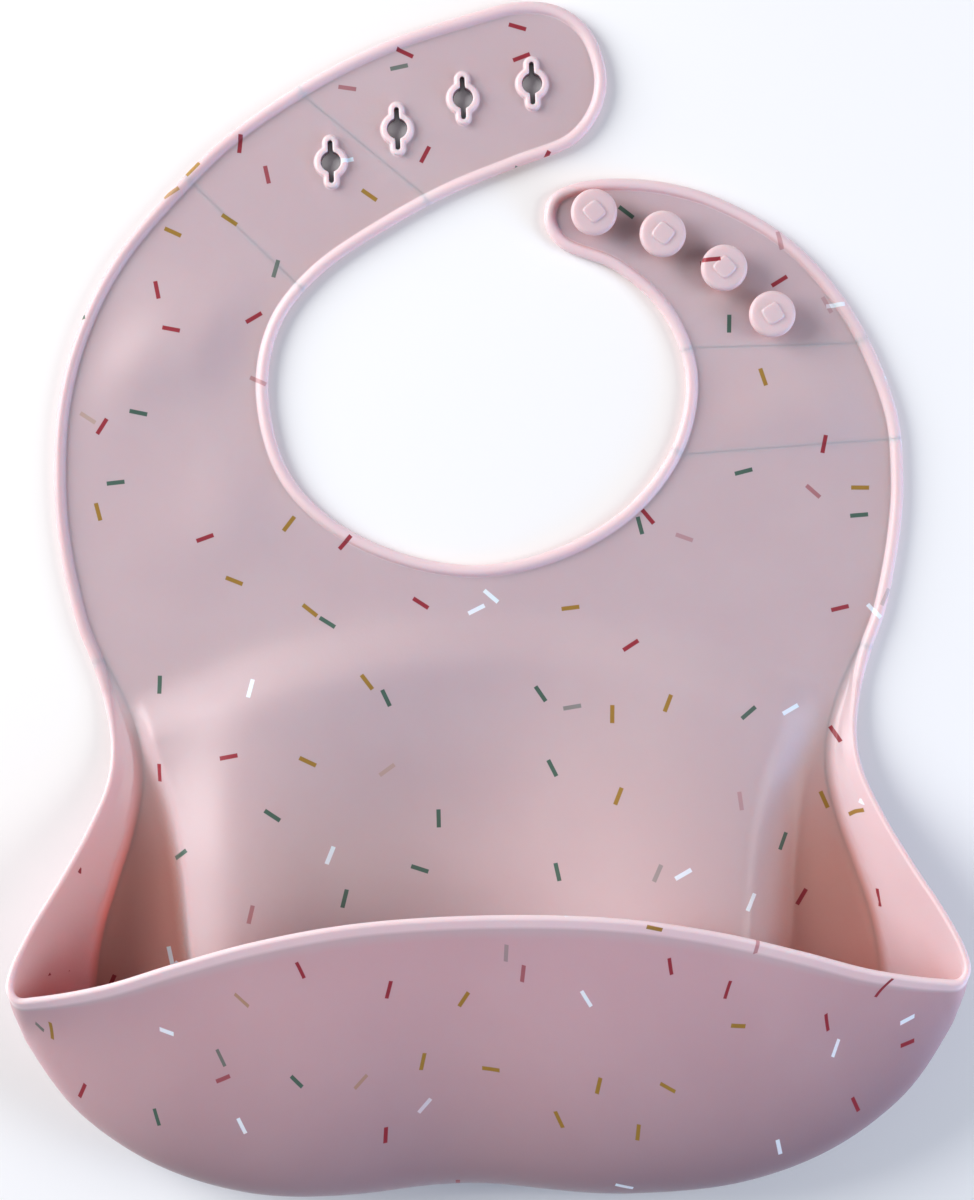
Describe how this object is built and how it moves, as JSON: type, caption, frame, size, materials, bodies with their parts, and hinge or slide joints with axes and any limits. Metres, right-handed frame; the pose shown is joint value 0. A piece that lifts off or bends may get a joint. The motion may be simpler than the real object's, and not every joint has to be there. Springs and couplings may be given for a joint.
{
  "type": "silicone baby bib",
  "caption": "Soft silicone baby bib with a moulded catch-all pocket, neck straps with studs and slotted eyelets, and rounded edge beads, lying on its back.",
  "frame": {"origin": "middle of the outline, on the surface that the bib lies on", "axes": "+Z out of the front of the bib, +Y from the pocket towards the neck, +X to the right of someone looking down at the front"},
  "size_m": [0.2294, 0.2946, 0.0429],
  "materials": {
    "sheet_silicone": "matte dusty pink silicone with a sprinkle print",
    "bead_silicone": "satin dusty pink silicone",
    "pocket_silicone": "matte dusty pink silicone with a sprinkle print",
    "stud_silicone": "satin pink silicone",
    "collar_silicone": "satin pink silicone"
  },
  "bodies": {
    "pocket_base": {"lower_panel": "sheet_silicone", "pocket_trough": "pocket_silicone", "gusset_left": "pocket_silicone", "gusset_right": "pocket_silicone", "gusset_bead_left": "bead_silicone", "gusset_bead_right": "bead_silicone"},
    "pocket_wall": {"pocket_front": "pocket_silicone", "pocket_lip": "bead_silicone"},
    "chest": {"chest_panel": "sheet_silicone", "neckline_bead": "bead_silicone", "chest_bead_left": "bead_silicone", "chest_bead_right": "bead_silicone"},
    "eyelet_strap_near": {"eyelet_strap": "sheet_silicone", "eyelet_strap_bead_outer": "bead_silicone", "eyelet_strap_bead_inner": "bead_silicone", "eyelet_collar_1": "collar_silicone", "eyelet_collar_2": "collar_silicone"},
    "eyelet_strap_end": {"eyelet_tip": "sheet_silicone", "eyelet_tip_bead": "bead_silicone", "eyelet_collar_3": "collar_silicone", "eyelet_collar_4": "collar_silicone"},
    "button_strap_near": {"button_strap": "sheet_silicone", "button_strap_bead_outer": "bead_silicone", "button_strap_bead_inner": "bead_silicone", "button_stud_3": "stud_silicone", "button_stud_4": "stud_silicone"},
    "button_strap_end": {"button_tip": "sheet_silicone", "button_tip_bead": "bead_silicone", "button_stud_1": "stud_silicone", "button_stud_2": "stud_silicone"}
  },
  "joints": [
    {"name": "pocket_lip_lift", "type": "hinge", "parent": "pocket_base", "child": "pocket_wall", "pos_m": [0, -0.1458, 0.013], "axis": [1, 0, 0], "range_deg": [0, 20], "stiffness_Nm_per_rad": 0.2},
    {"name": "chest_fold", "type": "hinge", "parent": "pocket_base", "child": "chest", "pos_m": [0, -0.006, 0.0031], "axis": [1, 0, 0], "range_deg": [0, 90], "stiffness_Nm_per_rad": 0.004},
    {"name": "eyelet_strap_bend", "type": "hinge", "parent": "chest", "child": "eyelet_strap_near", "pos_m": [-0.0529, 0.09515, 0.0031], "axis": [0.6937, -0.7202, 0], "range_deg": [0, 75], "stiffness_Nm_per_rad": 0.001},
    {"name": "eyelet_tip_bend", "type": "hinge", "parent": "eyelet_strap_near", "child": "eyelet_strap_end", "pos_m": [-0.0124, 0.11925, 0.0031], "axis": [0.3572, -0.934, 0], "range_deg": [0, 60], "stiffness_Nm_per_rad": 0.001},
    {"name": "button_strap_bend", "type": "hinge", "parent": "chest", "child": "button_strap_near", "pos_m": [0.07785, 0.0443, 0.0031], "axis": [1, 0, 0], "range_deg": [0, 75], "stiffness_Nm_per_rad": 0.001},
    {"name": "button_tip_bend", "type": "hinge", "parent": "button_strap_near", "child": "button_strap_end", "pos_m": [0.05405, 0.0834, 0.0031], "axis": [0.5066, 0.8622, 0], "range_deg": [0, 45], "stiffness_Nm_per_rad": 0.001}
  ]
}
